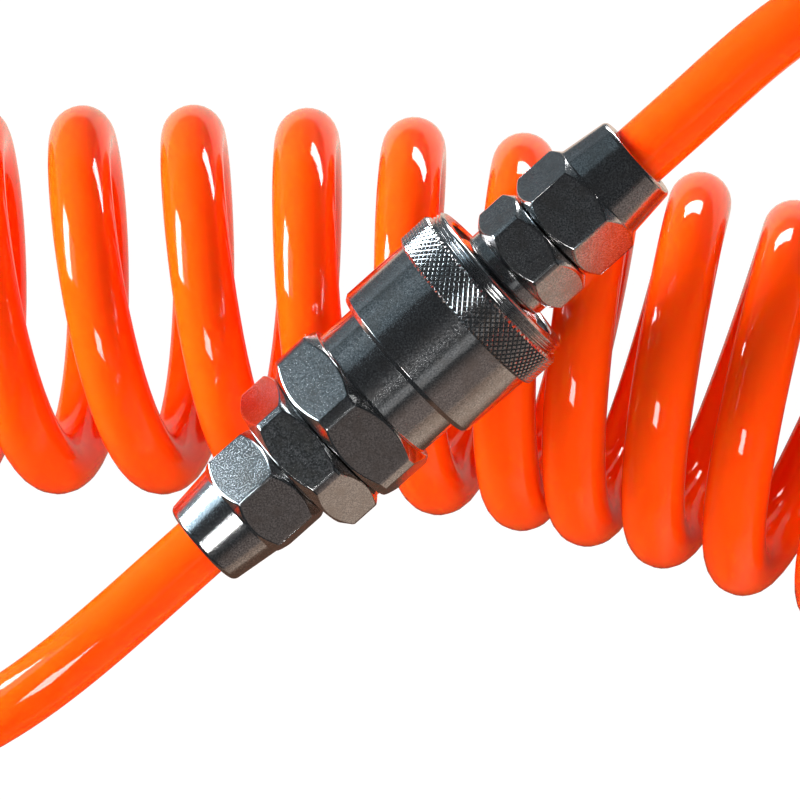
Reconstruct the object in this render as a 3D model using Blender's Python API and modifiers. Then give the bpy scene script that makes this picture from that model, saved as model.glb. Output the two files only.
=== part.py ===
"""Coiled polyurethane air hose whose socket and plug are coupled together.

The hose lies coiled on a surface, and the coupler lies level across the top of the coil.
Units are metres, with +Z up. The origin is on that surface, at the middle of the footprint.
"""
import math

import bmesh
import bpy
import numpy as np
from mathutils import Matrix, Vector

MM = 0.001

# Hose: its tube, and the preformed turns
HOSE_OD = 10.0 * MM
HOSE_BORE = 6.5 * MM
COIL_RADIUS = 26.3 * MM
COIL_START = Vector((-129.3 * MM, 10.6 * MM))
COIL_STRAIGHT = 87.0 * MM
COIL_BEND_RADIUS = 285.0 * MM
FIRST_LEAN = math.radians(6.6)
LAST_LEAN = math.radians(0.5)
TURN_PITCHES = [17.0, 17.0, 17.0, 17.0, 17.6, 16.4, 15.5, 16.0, 12.0, 13.9, 14.4, 17.0, 17.0, 17.0]
POINTS_PER_TURN = 24
REST_FLAT = HOSE_OD / 10

# Routes of the two free tails, from the coupler to the coil, in millimetres
SOCKET_ROUTE = [(-63.2, -52.9, 75.5), (-113.5, -58.2, 39.5)]
PLUG_ROUTE = [(63.0, 54.6, 76.5), (121.3, 53.4, 43.5)]
ROUTE_STEP = HOSE_OD

# Clearances
GAP = 0.3 * MM
NUT_FACE_GAP = 0.6 * MM
REST_GAP = 0.3 * MM

# Where the coupler lies, and how its pieces are turned about its axis
COUPLER_CENTRE = Vector((2.1 * MM, 2.5 * MM))
COUPLER_HEADING = math.radians(41.4)
BODY_FACE_BACK = 19.6 * MM
VERTEX_UP = math.radians(30)

# Socket body
BODY_HEX_FLATS = 26.0 * MM
BODY_HEX_OD = 29.0 * MM
BODY_HEX_LENGTH = 9.1 * MM
NECK_OD = 23.7 * MM
NECK_LENGTH = 7.5 * MM
TUBE_OD = 17.8 * MM
TUBE_TIP = 1.1 * MM
VALVE_SEAT_BACK = 2.0 * MM
CHAMBER_DIAMETER = 17.0 * MM
SEAL_SEAT_DEPTH = 1.7 * MM
SEAL_SEAT_WIDTH = 1.7 * MM
PACKING_WIDTH = 2.6 * MM
PACKING_FORWARD = 4.5 * MM
PACKING_DEPTH = 1.8 * MM

# Release sleeve
SLEEVE_OD = 28.1 * MM
SLEEVE_OVERLAP = 0.85 * MM
SLEEVE_TRAVEL = 4.5 * MM
SPRING_SPACE = 9.0 * MM
LAND_LENGTH = 3.0 * MM
LIP_LENGTH = 2.8 * MM
KNURL_OD = 29.8 * MM
KNURL_LENGTH = 5.7 * MM
KNURL_BACK = 2.2 * MM
FRONT_BORE = 22.4 * MM
STOP_RING_THICKNESS = 1.0 * MM
STOP_RING_SEAT = 0.7 * MM
STOP_RING_SPLIT = 4.0 * MM
SLEEVE_WIRE = 1.1 * MM
SLEEVE_SPRING_TURNS = 3.5

# Locking balls
BALL_COUNT = 6
BALL_DIAMETER = 4.0 * MM

# Plug
NOSE_DIAMETER = 11.8 * MM
NOSE_REACH = 12.0 * MM
NOSE_CHAMFER = 1.2 * MM
GROOVE_FLOOR = 1.8 * MM
PLUG_BORE = 6.4 * MM
PLUG_NECK_OD = 15.6 * MM
PLUG_NECK_LENGTH = 2.4 * MM
PLUG_HEX_FLATS = 17.0 * MM
PLUG_HEX_OD = 19.2 * MM
PLUG_HEX_LENGTH = 7.7 * MM

# Rear adapter
ADAPTER_HEX_FLATS = 23.5 * MM
ADAPTER_HEX_OD = 26.5 * MM
ADAPTER_HEX_LENGTH = 7.6 * MM
SPIGOT_LENGTH = 3.6 * MM
SPRING_POCKET_DIAMETER = 12.4 * MM
SPRING_POCKET_DEPTH = 6.6 * MM

# Hose nuts, and the spigot and barb that each one screws and clamps on
NUT_FLATS = 17.0 * MM
NUT_OD = 19.5 * MM
NUT_HEX_LENGTH = 9.6 * MM
COLLAR_LENGTH = 8.1 * MM
COLLAR_ROOT_OD = 16.6 * MM
COLLAR_END_OD = 14.8 * MM
NUT_THREAD_OD = 13.2 * MM
NUT_THREAD_LENGTH = 6.3 * MM
BARB_LENGTH = 10.2 * MM
BARB_WALL = 1.05 * MM
BARB_RIDGE = 0.25 * MM

# Valve
VALVE_STEM_OD = 10.0 * MM
VALVE_STEM_BORE = 6.6 * MM
VALVE_STEM_LENGTH = 6.8 * MM
VALVE_HEAD_OD = 14.8 * MM
VALVE_HEAD_THICKNESS = 2.1 * MM
VALVE_GUIDE_OD = 7.0 * MM
VALVE_GUIDE_LENGTH = 2.0 * MM
VALVE_WINDOW = 3.0 * MM
VALVE_SEAL_WIRE = 1.4 * MM
VALVE_WIRE = 0.8 * MM
VALVE_SPRING_TURNS = 5.5

# Edge breaks and facets
EDGE = 0.4 * MM
HEX_EDGE = 1.2 * MM
TURN_STEPS = 30
SLEEVE_STEPS = 36
RING_STEPS = 24
RING_SIDES = 6
WIRE_POINTS_PER_TURN = 10

# Stations along the coupler, from the socket body's rear face, positive towards the plug
SHOULDER = BODY_HEX_LENGTH + NECK_LENGTH
LAND_START = SHOULDER + SPRING_SPACE
BALL_STATION = LAND_START + LAND_LENGTH
RAMP_END = BALL_STATION + SLEEVE_TRAVEL
SLEEVE_REAR = SHOULDER - SLEEVE_OVERLAP
SLEEVE_FRONT = RAMP_END + LIP_LENGTH
RING_START = RAMP_END + GAP
RING_END = RING_START + STOP_RING_THICKNESS
TUBE_END = RING_END + TUBE_TIP
VALVE_SEAT = SHOULDER - VALVE_SEAT_BACK
PACKING_START = SHOULDER + PACKING_FORWARD
PACKING_END = PACKING_START + PACKING_WIDTH
NOSE_TIP = BALL_STATION - NOSE_REACH
PLUG_NECK_START = TUBE_END + GAP
PLUG_HEX_START = PLUG_NECK_START + PLUG_NECK_LENGTH
PLUG_HEX_END = PLUG_HEX_START + PLUG_HEX_LENGTH
ADAPTER_FACE = -GAP
ADAPTER_REAR = ADAPTER_FACE - ADAPTER_HEX_LENGTH
SPRING_POCKET_FLOOR = SPIGOT_LENGTH - SPRING_POCKET_DEPTH
VALVE_TIP = NOSE_TIP - GAP
VALVE_FACE = VALVE_TIP - VALVE_STEM_LENGTH
VALVE_BACK = VALVE_FACE - VALVE_HEAD_THICKNESS

# Radii that follow from what each piece seats on
TUBE_RADIUS = TUBE_OD / 2
NOSE_RADIUS = NOSE_DIAMETER / 2
BORE_RADIUS = NOSE_RADIUS + GAP
PACKING_RADIUS = BORE_RADIUS + PACKING_DEPTH
LAND_RADIUS = TUBE_RADIUS + GAP
REAR_BORE_RADIUS = NECK_OD / 2 + GAP
BALL_RADIUS = BALL_DIAMETER / 2
BALL_ORBIT = LAND_RADIUS - GAP - BALL_RADIUS
BALL_LIFT = BORE_RADIUS - (BALL_ORBIT - BALL_RADIUS)
GROOVE_RADIUS = BALL_ORBIT - BALL_RADIUS - GAP
GROOVE_SLOPE = NOSE_RADIUS - GROOVE_RADIUS
SPIGOT_RADIUS = CHAMBER_DIAMETER / 2 - GAP
SEAL_SEAT_RADIUS = CHAMBER_DIAMETER / 2 + SEAL_SEAT_WIDTH
BARB_RADIUS = HOSE_BORE / 2 - GAP
BARB_BORE_RADIUS = BARB_RADIUS - BARB_WALL
COIL_MIDDLE = COIL_RADIUS + HOSE_OD / 2 - REST_FLAT
COIL_TOP = COIL_MIDDLE + COIL_RADIUS + HOSE_OD / 2
COUPLER_HEIGHT = COIL_TOP + REST_GAP + KNURL_OD / 2


def clear_scene():
    for obj in list(bpy.data.objects):
        bpy.data.objects.remove(obj, do_unlink=True)


def new_collection(name):
    collection = bpy.data.collections.new(name)
    bpy.context.scene.collection.children.link(collection)
    return collection


def finish(name, color, roughness, metallic):
    """A Principled material with one colour, roughness and metallic value."""
    material = bpy.data.materials.new(name)
    material.use_nodes = True
    shader = material.node_tree.nodes["Principled BSDF"]
    shader.inputs["Base Color"].default_value = (*color, 1)
    shader.inputs["Roughness"].default_value = roughness
    shader.inputs["Metallic"].default_value = metallic
    return material


def add_piece(name, data, material, parent=None):
    """One named piece of the object, in its parent's frame."""
    obj = bpy.data.objects.new(name, data)
    data.materials.append(material)
    parts.objects.link(obj)
    obj.parent = parent
    return obj


def add_cutter(name, mesh, parent=None):
    """A shape that only cuts, so it isn't rendered or kept."""
    obj = bpy.data.objects.new(name, mesh)
    cutters.objects.link(obj)
    obj.parent = parent
    obj.hide_render = True
    obj.display_type = "WIRE"
    return obj


def boolean(obj, cutter, operation="DIFFERENCE"):
    modifier = obj.modifiers.new(cutter.name, "BOOLEAN")
    modifier.operation = operation
    modifier.object = cutter


def primitive_mesh(name, build, **sizes):
    """A mesh made by one of bmesh's primitive operators."""
    shape = bmesh.new()
    build(shape, **sizes)
    mesh = bpy.data.meshes.new(name)
    shape.to_mesh(mesh)
    shape.free()
    return mesh


def rod_mesh(name, radius, low, high, sides):
    """A closed rod along Z from low to high."""
    return primitive_mesh(
        name, bmesh.ops.create_cone, cap_ends=True, segments=sides, radius1=radius, radius2=radius,
        depth=high - low, matrix=Matrix.Translation((0, 0, (low + high) / 2)))


def turned(name, outline, material, steps=TURN_STEPS):
    """A piece turned about the coupler's axis from (radius, station) points, outer side first."""
    count = len(outline)
    edges = [(i, (i + 1) % count) for i in range(count)]
    if outline[0][0] == 0:
        edges.pop()
    mesh = bpy.data.meshes.new(name)
    mesh.from_pydata([(radius, 0, station) for radius, station in outline], edges, [])
    obj = add_piece(name, mesh, material, coupler)
    screw = obj.modifiers.new("turning", "SCREW")
    screw.axis = "Z"
    screw.steps = screw.render_steps = steps
    screw.use_merge_vertices = True
    screw.merge_threshold = MM / 1000
    return obj


def cut_hexagon(obj, across_flats, turn=0.0):
    """Mills six flats along the whole piece; only what is wider than the flats is cut."""
    reach = 3 * BODY_FACE_BACK + SLEEVE_FRONT
    prism = add_cutter(obj.name + "_flats", rod_mesh(
        obj.name + "_flats", across_flats / math.sqrt(3), -reach, reach, 6), coupler)
    prism.rotation_euler.z = turn
    boolean(obj, prism, "INTERSECT")


def ring(name, radius, wire, station, material):
    """An O-ring: a round section turned about the coupler's axis."""
    outline = []
    for i in range(RING_SIDES):
        angle = -2 * math.pi * (i + 0.5) / RING_SIDES
        outline.append((radius + wire / 2 * math.cos(angle), station + wire / 2 * math.sin(angle)))
    return turned(name, outline, material, RING_STEPS)


def tube_curve(name, points, diameter, resolution):
    """A round tube with closed ends along the points."""
    curve = bpy.data.curves.new(name, "CURVE")
    curve.dimensions = "3D"
    curve.bevel_depth = diameter / 2
    curve.bevel_resolution = resolution
    curve.use_fill_caps = True
    spline = curve.splines.new("POLY")
    spline.points.add(len(points) - 1)
    for point, place in zip(spline.points, points):
        point.co = (*place, 1)
    return curve


def tube_mesh(name, points, diameter, resolution):
    """The same tube as one closed mesh, so that it can be cut."""
    guide = bpy.data.objects.new(name, tube_curve(name, points, diameter, resolution))
    cutters.objects.link(guide)
    depsgraph = bpy.context.evaluated_depsgraph_get()
    mesh = bpy.data.meshes.new_from_object(guide.evaluated_get(depsgraph))
    bpy.data.objects.remove(guide)
    shape = bmesh.new()
    shape.from_mesh(mesh)
    bmesh.ops.remove_doubles(shape, verts=shape.verts, dist=MM / 1000)
    bmesh.ops.recalc_face_normals(shape, faces=shape.faces)
    shape.to_mesh(mesh)
    shape.free()
    mesh.name = name
    mesh.shade_smooth()
    return mesh


def spring(name, radius, wire, low, high, turns, material):
    """A wire spring about the coupler's axis between two stations."""
    count = int(turns * WIRE_POINTS_PER_TURN)
    points = []
    for i in range(count + 1):
        angle = 2 * math.pi * turns * i / count
        station = low + wire / 2 + (high - low - wire) * i / count
        points.append((radius * math.cos(angle), radius * math.sin(angle), station))
    return add_piece(name, tube_mesh(name, points, wire, 1), material, coupler)


def coil_advance(turn):
    """How far along the coil's axis a turn has come; each pitch runs from one turn's top to the next."""
    pitches = [TURN_PITCHES[0]] + TURN_PITCHES + [TURN_PITCHES[-1]]
    marks = np.cumsum([-pitches[0] / 2] + pitches) * MM
    slopes = np.gradient(marks)
    place = turn + 0.5
    i = min(max(int(place), 0), len(marks) - 2)
    t = place - i
    return (marks[i] * (1 + 2 * t) * (1 - t) ** 2 + slopes[i] * t * (1 - t) ** 2
            + marks[i + 1] * t * t * (3 - 2 * t) + slopes[i + 1] * t * t * (t - 1))


def coil_point(turn):
    """The hose's centre on the coil, which starts under the axis and climbs its +Y side first."""
    advance = coil_advance(turn)
    bend = max(advance - COIL_STRAIGHT, 0) / COIL_BEND_RADIUS
    run = min(advance, COIL_STRAIGHT)
    axis = COIL_START + Vector((run, 0)) + COIL_BEND_RADIUS * Vector((math.sin(bend), math.cos(bend) - 1))
    lean = FIRST_LEAN + (LAST_LEAN - FIRST_LEAN) * turn / (len(TURN_PITCHES) + 1)
    side = lean - bend
    angle = 2 * math.pi * turn
    reach = COIL_RADIUS * math.sin(angle)
    return Vector((axis.x - reach * math.sin(side), axis.y + reach * math.cos(side),
                   COIL_MIDDLE - COIL_RADIUS * math.cos(angle)))


def coil_end(turn, outward):
    """The coil's end and the level direction in which the hose leaves it."""
    step = 1 / (100 * POINTS_PER_TURN)
    along = (coil_point(turn + step) - coil_point(turn - step)) * outward
    along.z = 0
    return coil_point(turn), along.normalized()


def smooth_path(points, leaving, arriving, spacing):
    """Evenly spaced points on the evenest curve through the given ones, with its directions at both ends."""
    knots = np.array([p[:] for p in points])
    chords = np.linalg.norm(np.diff(knots, axis=0), axis=1)
    slopes = np.vstack([leaving, np.diff(knots, axis=0) / chords[:, None], arriving])
    system = np.zeros((len(knots), len(knots)))
    for i, chord in enumerate(chords):
        system[i:i + 2, i:i + 2] += chord * np.array([[2, 1], [1, 2]])
    bends = np.linalg.solve(system, 6 * np.diff(slopes, axis=0))
    fine = []
    for i, chord in enumerate(chords):
        for t in np.linspace(0, 1, 20, endpoint=False):
            u = 1 - t
            fine.append(u * knots[i] + t * knots[i + 1]
                        + chord ** 2 / 6 * ((u ** 3 - u) * bends[i] + (t ** 3 - t) * bends[i + 1]))
    fine = np.array(fine + [knots[-1]])
    lengths = np.insert(np.cumsum(np.linalg.norm(np.diff(fine, axis=0), axis=1)), 0, 0)
    places = np.linspace(0, lengths[-1], round(lengths[-1] / spacing) + 1)
    return [Vector(p) for p in zip(*(np.interp(places, lengths, column) for column in fine.T))]


def print_least_gap(points):
    """Prints the least clear distance between turns, and the hose's length in the coil."""
    places = np.array([p[:] for p in points])
    least = min(np.linalg.norm(places[i + POINTS_PER_TURN // 2:] - places[i], axis=1).min()
                for i in range(len(places) - POINTS_PER_TURN // 2))
    length = np.linalg.norm(np.diff(places, axis=0), axis=1).sum()
    print(f"hose_coil: least gap to itself {(least - HOSE_OD) / MM:.2f} mm, length {length:.3f} m")


def make_hose():
    """The coil, and the two tails that run from its ends up into the hose nuts."""
    turns = len(TURN_PITCHES) + 1
    start, start_along = coil_end(0, -1)
    end, end_along = coil_end(turns, 1)
    points = [start + start_along * HOSE_OD]
    points += [coil_point(i / POINTS_PER_TURN) for i in range(turns * POINTS_PER_TURN + 1)]
    points.append(end + end_along * HOSE_OD)
    print_least_gap(points)
    coil = add_piece("hose_coil", tube_mesh("hose_coil", points, HOSE_OD, 1), polyurethane)
    socket_stop = ADAPTER_REAR - NUT_THREAD_LENGTH - GAP
    plug_stop = PLUG_HEX_END + NUT_THREAD_LENGTH + GAP
    tails = [make_tail("socket_tail", SOCKET_ROUTE, socket_stop, -1, start, start_along),
             make_tail("plug_tail", PLUG_ROUTE, plug_stop, 1, end, end_along)]
    depth = 2 * HOSE_OD
    span = 4 * COIL_BEND_RADIUS
    floor = add_cutter("floor_block", primitive_mesh(
        "floor_block", bmesh.ops.create_cube, size=1,
        matrix=Matrix.Translation((0, 0, -depth / 2)) @ Matrix.Diagonal((span, span, depth, 1))))
    for hose in [coil] + tails:
        boolean(hose, floor)


def make_tail(name, route, stop, outward, coil_place, along):
    """A free tail: straight out of its nut, along its route, and straight into the coil's end."""
    inside = coupler.matrix_world @ Vector((0, 0, stop))
    nut_end = BARB_LENGTH + HOSE_OD
    outside = coupler.matrix_world @ Vector((0, 0, stop + outward * nut_end))
    joint = coil_place + along * (HOSE_OD + GAP)
    knots = [outside] + [Vector(p) * MM for p in route] + [joint + along * HOSE_OD / 4]
    free = smooth_path(knots, (outside - inside).normalized(), -along, ROUTE_STEP)
    tail = add_piece(name, tube_mesh(name, [inside] + free + [joint], HOSE_OD, 4), polyurethane)
    low, high = sorted([stop - outward * GAP, stop + outward * (BARB_LENGTH + GAP)])
    boolean(tail, add_cutter(name + "_bore", rod_mesh(name + "_bore", HOSE_BORE / 2, low, high, 16), coupler))
    return tail


def barb_outline(face, outward):
    """Thread spigot and ridged barb from a hexagon's face outwards, as (radius, station) points."""
    spigot_end = face + outward * NUT_THREAD_LENGTH
    barb_end = spigot_end + outward * (BARB_LENGTH - GAP)
    ridges = []
    for i in range(3):
        ridge = spigot_end + outward * BARB_LENGTH * (i + 1) / 4
        ridges += [(BARB_RADIUS - BARB_RIDGE, ridge), (BARB_RADIUS, ridge + outward * BARB_RIDGE)]
    return ([(NUT_THREAD_OD / 2, face), (NUT_THREAD_OD / 2, spigot_end - outward * EDGE),
             (NUT_THREAD_OD / 2 - EDGE, spigot_end), (BARB_RADIUS, spigot_end)] + ridges
            + [(BARB_RADIUS - BARB_RIDGE, barb_end), (BARB_BORE_RADIUS, barb_end)])


def make_hose_nut(name, face, outward, turn):
    """Hexagon nut with a tapered collar; its thread takes the spigot and its mouth the hose."""
    hex_end = face + outward * NUT_HEX_LENGTH
    end = hex_end + outward * COLLAR_LENGTH
    thread_end = face + outward * (NUT_THREAD_LENGTH + 2 * GAP)
    thread_radius = NUT_THREAD_OD / 2 + GAP
    mouth_radius = HOSE_OD / 2 + GAP
    outside = [(NUT_FLATS / 2 - EDGE, face), (NUT_OD / 2, face + outward * HEX_EDGE),
               (NUT_OD / 2, hex_end - outward * HEX_EDGE / 2), (COLLAR_ROOT_OD / 2 + EDGE / 2, hex_end),
               (COLLAR_ROOT_OD / 2, hex_end), (COLLAR_END_OD / 2, end - outward * EDGE),
               (COLLAR_END_OD / 2 - EDGE, end)]
    inside = [(mouth_radius, end), (mouth_radius, thread_end + outward * (thread_radius - mouth_radius)),
              (thread_radius, thread_end), (thread_radius, face)]
    outline = outside + inside
    if outward > 0:
        outline.reverse()
    cut_hexagon(turned(name, outline, plated_steel), NUT_FLATS, turn)


def make_rear_adapter():
    """Hexagon adapter: spigot into the body, pocket for the valve's spring, thread and barb for the hose."""
    pocket_radius = SPRING_POCKET_DIAMETER / 2
    outline = [(SPIGOT_RADIUS, SPIGOT_LENGTH), (SPIGOT_RADIUS, ADAPTER_FACE),
               (ADAPTER_HEX_OD / 2 - EDGE, ADAPTER_FACE), (ADAPTER_HEX_OD / 2, ADAPTER_FACE - EDGE),
               (ADAPTER_HEX_OD / 2, ADAPTER_REAR + HEX_EDGE),
               (ADAPTER_HEX_OD / 2 - HEX_EDGE, ADAPTER_REAR)]
    outline += barb_outline(ADAPTER_REAR, -1)
    outline += [(BARB_BORE_RADIUS, SPRING_POCKET_FLOOR), (pocket_radius, SPRING_POCKET_FLOOR),
                (pocket_radius, SPIGOT_LENGTH)]
    cut_hexagon(turned("rear_adapter", outline, plated_steel), ADAPTER_HEX_FLATS)
    ring("adapter_seal", (SPIGOT_RADIUS + SEAL_SEAT_RADIUS) / 2, SEAL_SEAT_RADIUS - SPIGOT_RADIUS - 2 * GAP,
         (SEAL_SEAT_DEPTH - GAP) / 2, rubber)


def make_socket_body():
    """Hexagon, neck and tube in one turned piece, with the seats for its seals, ring, valve and balls."""
    seat_radius = TUBE_RADIUS - STOP_RING_SEAT
    chamber_radius = CHAMBER_DIAMETER / 2
    outline = [(TUBE_RADIUS - EDGE, TUBE_END), (TUBE_RADIUS, TUBE_END - EDGE),
               (TUBE_RADIUS, RING_END + GAP), (seat_radius, RING_END + GAP),
               (seat_radius, RING_START - GAP), (TUBE_RADIUS, RING_START - GAP),
               (TUBE_RADIUS, SHOULDER), (NECK_OD / 2 - EDGE, SHOULDER),
               (NECK_OD / 2, SHOULDER - EDGE), (NECK_OD / 2, BODY_HEX_LENGTH),
               (BODY_HEX_FLATS / 2 - EDGE, BODY_HEX_LENGTH),
               (BODY_HEX_OD / 2, BODY_HEX_LENGTH - HEX_EDGE), (BODY_HEX_OD / 2, HEX_EDGE),
               (BODY_HEX_OD / 2 - HEX_EDGE, 0), (SEAL_SEAT_RADIUS, 0),
               (SEAL_SEAT_RADIUS, SEAL_SEAT_DEPTH), (chamber_radius, SEAL_SEAT_DEPTH),
               (chamber_radius, VALVE_SEAT), (BORE_RADIUS, VALVE_SEAT), (BORE_RADIUS, PACKING_START),
               (PACKING_RADIUS, PACKING_START), (PACKING_RADIUS, PACKING_END),
               (BORE_RADIUS, PACKING_END), (BORE_RADIUS, TUBE_END - EDGE), (BORE_RADIUS + EDGE, TUBE_END)]
    body = turned("socket_body", outline, plated_steel)
    cut_hexagon(body, BODY_HEX_FLATS, VERTEX_UP)
    for angle in ball_angles():
        hole = add_cutter("ball_hole", rod_mesh(
            "ball_hole", BALL_RADIUS + GAP, GROOVE_RADIUS, TUBE_OD, 16), coupler)
        hole.matrix_local = (Matrix.Translation((0, 0, BALL_STATION))
                             @ Matrix.Rotation(angle, 4, "Z") @ Matrix.Rotation(math.pi / 2, 4, "Y"))
        boolean(body, hole)
    ring("plug_seal", (NOSE_RADIUS + PACKING_RADIUS) / 2, PACKING_RADIUS - NOSE_RADIUS - 2 * GAP,
         (PACKING_START + PACKING_END) / 2, rubber)


def ball_angles():
    return [2 * math.pi * i / BALL_COUNT for i in range(BALL_COUNT)]


def make_sleeve():
    """The release sleeve, its spring, and the split ring that keeps it on the body."""
    knurl_end = SLEEVE_FRONT - KNURL_BACK
    knurl_start = knurl_end - KNURL_LENGTH
    outline = [(SLEEVE_OD / 2 - EDGE, SLEEVE_FRONT), (SLEEVE_OD / 2, SLEEVE_FRONT - EDGE),
               (SLEEVE_OD / 2, knurl_end), (KNURL_OD / 2 - EDGE, knurl_end), (KNURL_OD / 2, knurl_end - EDGE),
               (KNURL_OD / 2, knurl_start + EDGE), (KNURL_OD / 2 - EDGE, knurl_start),
               (SLEEVE_OD / 2, knurl_start), (SLEEVE_OD / 2, SLEEVE_REAR + EDGE),
               (SLEEVE_OD / 2 - EDGE, SLEEVE_REAR), (REAR_BORE_RADIUS, SLEEVE_REAR),
               (REAR_BORE_RADIUS, LAND_START), (LAND_RADIUS, LAND_START), (LAND_RADIUS, BALL_STATION),
               (LAND_RADIUS + BALL_LIFT, RAMP_END), (FRONT_BORE / 2, RAMP_END),
               (FRONT_BORE / 2, SLEEVE_FRONT)]
    turned("release_sleeve", outline, plated_steel, SLEEVE_STEPS)
    spring("sleeve_spring", (TUBE_RADIUS + REAR_BORE_RADIUS) / 2, SLEEVE_WIRE, SHOULDER + GAP,
           LAND_START - GAP, SLEEVE_SPRING_TURNS, spring_steel)
    inner = TUBE_RADIUS - STOP_RING_SEAT + GAP
    outer = FRONT_BORE / 2 - GAP
    stop = turned("sleeve_stop_ring", [(outer, RING_END), (outer, RING_START), (inner, RING_START),
                                       (inner, RING_END)], spring_steel)
    split = add_cutter("ring_split", primitive_mesh(
        "ring_split", bmesh.ops.create_cube, size=1,
        matrix=Matrix.Translation((-FRONT_BORE / 2, 0, RING_START))
        @ Matrix.Diagonal((FRONT_BORE, STOP_RING_SPLIT, 4 * STOP_RING_THICKNESS, 1))), coupler)
    boolean(stop, split)


def make_balls():
    """Six balls in the body's holes, each with its origin at its own centre."""
    mesh = primitive_mesh("lock_ball", bmesh.ops.create_uvsphere, u_segments=10, v_segments=6,
                          radius=BALL_RADIUS)
    mesh.shade_smooth()
    for number, angle in enumerate(ball_angles(), 1):
        ball = add_piece(f"lock_ball_{number}", mesh.copy(), spring_steel, coupler)
        ball.location = (BALL_ORBIT * math.cos(angle), BALL_ORBIT * math.sin(angle), BALL_STATION)


def make_valve():
    """The check valve: a poppet whose hollow stem meets the plug's nose, its seal and its spring."""
    guide_end = VALVE_BACK - VALVE_GUIDE_LENGTH
    bore_floor = VALVE_FACE + EDGE
    outline = [(0, bore_floor), (VALVE_STEM_BORE / 2, bore_floor), (VALVE_STEM_BORE / 2, VALVE_TIP),
               (VALVE_STEM_OD / 2, VALVE_TIP), (VALVE_STEM_OD / 2, VALVE_FACE),
               (VALVE_HEAD_OD / 2, VALVE_FACE), (VALVE_HEAD_OD / 2, VALVE_BACK),
               (VALVE_GUIDE_OD / 2, VALVE_BACK), (VALVE_GUIDE_OD / 2 - EDGE, guide_end), (0, guide_end)]
    poppet = turned("valve_poppet", outline, brass, RING_STEPS)
    seal_station = VALVE_FACE + GAP + VALVE_SEAL_WIRE / 2
    window_middle = seal_station + VALVE_SEAL_WIRE / 2 + VALVE_WINDOW / 2
    for number, size in enumerate([(VALVE_HEAD_OD, VALVE_WINDOW), (VALVE_WINDOW, VALVE_HEAD_OD)], 1):
        window = add_cutter(f"valve_window_{number}", primitive_mesh(
            "valve_window", bmesh.ops.create_cube, size=1,
            matrix=Matrix.Translation((0, 0, window_middle)) @ Matrix.Diagonal((*size, VALVE_WINDOW, 1))), coupler)
        boolean(poppet, window)
    ring("valve_seal", VALVE_STEM_OD / 2 + GAP + VALVE_SEAL_WIRE / 2, VALVE_SEAL_WIRE, seal_station, rubber)
    spring("valve_spring", VALVE_GUIDE_OD / 2 + GAP + VALVE_WIRE / 2, VALVE_WIRE, SPRING_POCKET_FLOOR + GAP,
           VALVE_BACK - GAP, VALVE_SPRING_TURNS, spring_steel)


def make_plug():
    """Nose with the balls' groove, neck, hexagon, thread and barb in one turned piece."""
    groove_half = GROOVE_FLOOR / 2
    outline = [(PLUG_BORE / 2, NOSE_TIP), (NOSE_RADIUS - NOSE_CHAMFER, NOSE_TIP),
               (NOSE_RADIUS, NOSE_TIP + NOSE_CHAMFER), (NOSE_RADIUS, BALL_STATION - groove_half - GROOVE_SLOPE),
               (GROOVE_RADIUS, BALL_STATION - groove_half), (GROOVE_RADIUS, BALL_STATION + groove_half),
               (NOSE_RADIUS, BALL_STATION + groove_half + GROOVE_SLOPE), (NOSE_RADIUS, PLUG_NECK_START),
               (PLUG_NECK_OD / 2 - EDGE, PLUG_NECK_START), (PLUG_NECK_OD / 2, PLUG_NECK_START + EDGE),
               (PLUG_NECK_OD / 2, PLUG_HEX_START), (PLUG_HEX_FLATS / 2 - EDGE, PLUG_HEX_START),
               (PLUG_HEX_OD / 2, PLUG_HEX_START + HEX_EDGE), (PLUG_HEX_OD / 2, PLUG_HEX_END - HEX_EDGE),
               (PLUG_HEX_FLATS / 2 - EDGE, PLUG_HEX_END)]
    outline += barb_outline(PLUG_HEX_END, 1)
    outline += [(BARB_BORE_RADIUS, PLUG_HEX_END), (PLUG_BORE / 2, PLUG_HEX_END - PLUG_BORE / 2)]
    outline.reverse()
    cut_hexagon(turned("plug_body", outline, plated_steel), PLUG_HEX_FLATS)


def make_coupler_axis():
    """An empty on the coupler's axis at the socket body's rear face: Z towards the plug, X up."""
    forward = Vector((math.cos(COUPLER_HEADING), math.sin(COUPLER_HEADING), 0))
    up = Vector((0, 0, 1))
    place = COUPLER_CENTRE.to_3d() + up * COUPLER_HEIGHT - forward * BODY_FACE_BACK
    empty = bpy.data.objects.new("coupler_axis", None)
    parts.objects.link(empty)
    frame = Matrix((up, forward.cross(up), forward)).transposed().to_4x4()
    empty.matrix_world = Matrix.Translation(place) @ frame
    return empty


clear_scene()
parts = new_collection("coiled_air_hose")
cutters = new_collection("cutters")
polyurethane = finish("orange polyurethane", (0.92, 0.09, 0.012), 0.22, 0.0)
plated_steel = finish("nickel plated steel", (0.60, 0.59, 0.57), 0.28, 1.0)
spring_steel = finish("spring steel", (0.42, 0.42, 0.43), 0.35, 1.0)
brass = finish("turned brass", (0.72, 0.55, 0.26), 0.30, 1.0)
rubber = finish("black nitrile rubber", (0.02, 0.02, 0.02), 0.6, 0.0)
coupler = make_coupler_axis()
bpy.context.view_layer.update()
make_hose()
make_hose_nut("socket_hose_nut", ADAPTER_REAR - NUT_FACE_GAP, -1, VERTEX_UP)
make_rear_adapter()
make_socket_body()
make_sleeve()
make_balls()
make_valve()
make_plug()
make_hose_nut("plug_hose_nut", PLUG_HEX_END + GAP, 1, 0.0)
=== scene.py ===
import math

import bmesh
import bpy
import numpy as np
from mathutils import Matrix, Vector


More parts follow.
